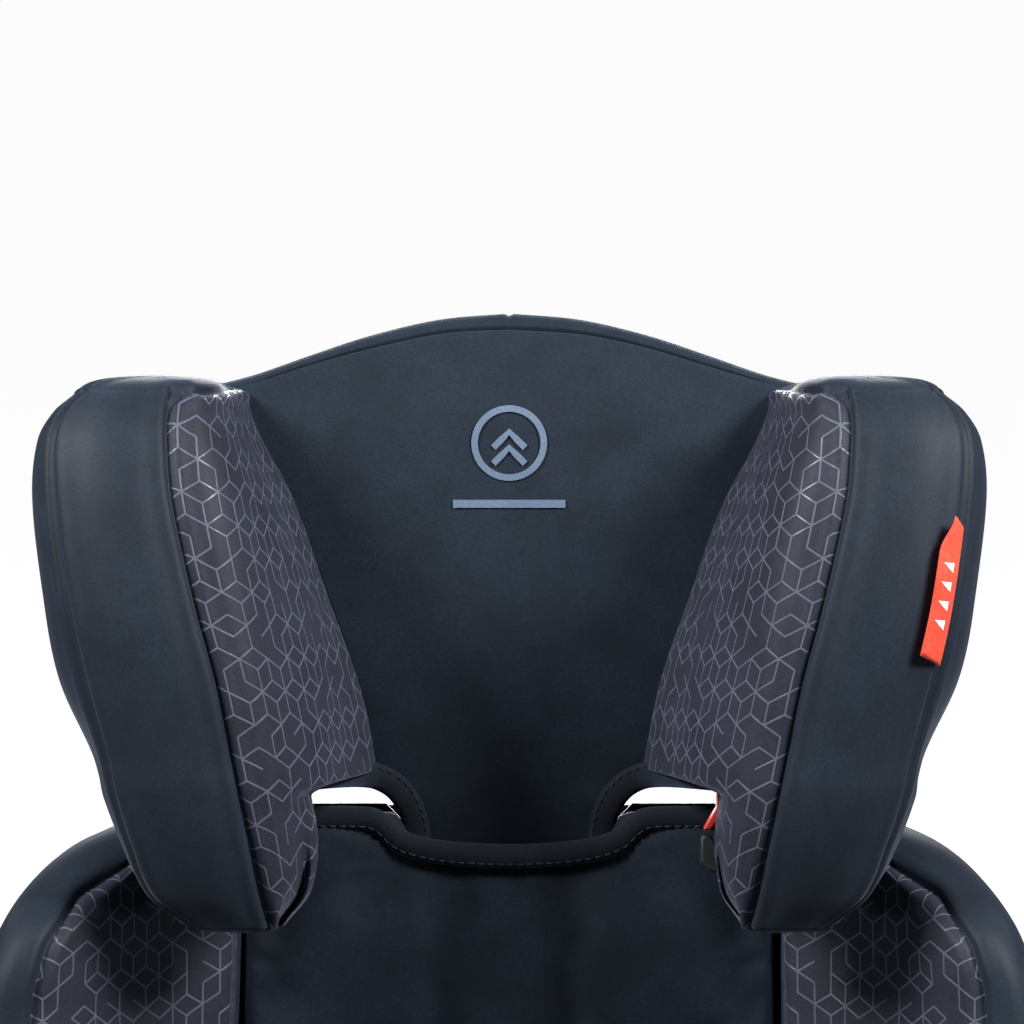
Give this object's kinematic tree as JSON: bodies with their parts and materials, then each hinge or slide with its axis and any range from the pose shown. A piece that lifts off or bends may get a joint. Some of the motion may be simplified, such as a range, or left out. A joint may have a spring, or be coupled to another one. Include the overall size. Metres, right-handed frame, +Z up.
{
  "type": "booster seat",
  "caption": "High-back booster seat with deep padded head wings on a height-adjustable mast, reclining winged backrest and armrest base.",
  "frame": {"origin": "centre of the overall box in plan, on the floor under the feet", "axes": "+Z up, the seat faces -Y, +X to the right of someone looking at its front"},
  "size_m": [0.44, 0.4614, 0.6761],
  "materials": {
    "grey_plastic": "matte",
    "black_plastic": "satin",
    "red_plastic": "satin",
    "zinc_steel": "satin",
    "mast_alloy": "satin",
    "rubber": "matte",
    "foam_core": "matte",
    "navy_fabric": "matte",
    "printed_fabric": "matte",
    "red_fabric": "matte"
  },
  "bodies": {
    "seat_base": {"base_shell": "grey_plastic", "base_underside": "black_plastic", "foot_front_L": "rubber", "foot_front_R": "rubber", "foot_rear_L": "rubber", "foot_rear_R": "rubber", "seat_cushion": "printed_fabric", "armrest_shell_L": "grey_plastic", "armrest_shell_R": "grey_plastic", "armrest_pad_L": "navy_fabric", "armrest_pad_R": "navy_fabric", "lap_belt_hook_L": "red_plastic", "lap_belt_hook_R": "red_plastic", "hinge_lug_L": "black_plastic", "hinge_lug_R": "black_plastic", "hinge_rod": "zinc_steel", "anchor_rail_L": "zinc_steel", "anchor_rail_R": "zinc_steel"},
    "backrest": {"back_shell": "black_plastic", "back_panel": "black_plastic", "back_pad_center": "navy_fabric", "back_top_cap_L": "black_plastic", "back_top_cap_R": "black_plastic", "back_wing_core_L": "foam_core", "back_wing_core_R": "foam_core", "back_wing_pad_L": "printed_fabric", "back_wing_pad_R": "printed_fabric", "mast_rail_L": "black_plastic", "mast_rail_R": "black_plastic", "height_rack": "black_plastic", "hinge_hook_L": "black_plastic", "hinge_hook_R": "black_plastic"},
    "headrest": {"headrest_shell": "black_plastic", "headrest_pad_center": "navy_fabric", "headrest_crown_pad": "navy_fabric", "headrest_wing_pad_L": "printed_fabric", "headrest_wing_pad_R": "printed_fabric", "headrest_wing_core_L": "foam_core", "headrest_wing_core_R": "foam_core", "headrest_mast": "mast_alloy", "mast_mount_L": "black_plastic", "mast_mount_R": "black_plastic", "mast_screw_L": "zinc_steel", "mast_screw_R": "zinc_steel", "handle_spring": "zinc_steel", "belt_guide_L": "black_plastic", "belt_guide_R": "black_plastic", "label_tag": "red_fabric"},
    "handle": {"adjust_handle": "grey_plastic", "release_rod": "zinc_steel"},
    "pawl": {"lock_pawl": "zinc_steel"},
    "gate_L": {"belt_gate_L": "red_plastic"},
    "anchor_L": {"anchor_arm_L": "zinc_steel"},
    "jaw_L": {"anchor_jaw_L": "zinc_steel"},
    "button_L": {"release_button_L": "red_plastic"},
    "gate_R": {"belt_gate_R": "red_plastic"},
    "anchor_R": {"anchor_arm_R": "zinc_steel"},
    "jaw_R": {"anchor_jaw_R": "zinc_steel"},
    "button_R": {"release_button_R": "red_plastic"}
  },
  "joints": [
    {"name": "backrest_recline", "type": "hinge", "parent": "seat_base", "child": "backrest", "pos_m": [0, 0.12933, 0.095], "axis": [1, 0, 0], "range_deg": [-12, 8]},
    {"name": "headrest_height", "type": "slide", "parent": "backrest", "child": "headrest", "axis": [0, 0.1392, 0.9903], "range_m": [0, 0.138]},
    {"name": "handle_pull", "type": "slide", "parent": "headrest", "child": "handle", "axis": [0, 0.1392, 0.9903], "range_m": [0, 0.008], "stiffness_N_per_m": 400, "springref_m": -0.004, "deforming": ["handle_spring"]},
    {"name": "pawl_draw", "type": "slide", "parent": "headrest", "child": "pawl", "axis": [0, -0.9903, 0.1392], "range_m": [0, 0.005]},
    {"name": "gate_L_swing", "type": "hinge", "parent": "headrest", "child": "gate_L", "pos_m": [-0.0905, 0.10121, 0.49127], "axis": [0, 0.9903, -0.1392], "range_deg": [0, 35], "stiffness_Nm_per_rad": 0.05, "springref_deg": -17.19},
    {"name": "anchor_L_extend", "type": "slide", "parent": "seat_base", "child": "anchor_L", "axis": [0, 1, 0], "range_m": [0, 0.1]},
    {"name": "button_L_pull", "type": "slide", "parent": "anchor_L", "child": "button_L", "axis": [0, -1, 0], "range_m": [0, 0.006], "stiffness_N_per_m": 300, "springref_m": -0.003},
    {"name": "jaw_L_open", "type": "hinge", "parent": "anchor_L", "child": "jaw_L", "pos_m": [-0.14, 0.15583, 0.0565], "axis": [1, 0, 0], "range_deg": [0, 25]},
    {"name": "gate_R_swing", "type": "hinge", "parent": "headrest", "child": "gate_R", "pos_m": [0.0905, 0.10121, 0.49127], "axis": [0, -0.9903, 0.1392], "range_deg": [0, 35], "stiffness_Nm_per_rad": 0.05, "springref_deg": -17.19},
    {"name": "anchor_R_extend", "type": "slide", "parent": "seat_base", "child": "anchor_R", "axis": [0, 1, 0], "range_m": [0, 0.1]},
    {"name": "button_R_pull", "type": "slide", "parent": "anchor_R", "child": "button_R", "axis": [0, -1, 0], "range_m": [0, 0.006], "stiffness_N_per_m": 300, "springref_m": -0.003},
    {"name": "jaw_R_open", "type": "hinge", "parent": "anchor_R", "child": "jaw_R", "pos_m": [0.14, 0.15583, 0.0565], "axis": [1, 0, 0], "range_deg": [0, 25]}
  ],
  "couplings": [
    {"joint": "pawl_draw", "follows": "handle_pull", "ratio": 0.625},
    {"joint": "jaw_L_open", "follows": "button_L_pull", "rad_per_m": 72.649},
    {"joint": "jaw_R_open", "follows": "button_R_pull", "rad_per_m": 72.649}
  ]
}
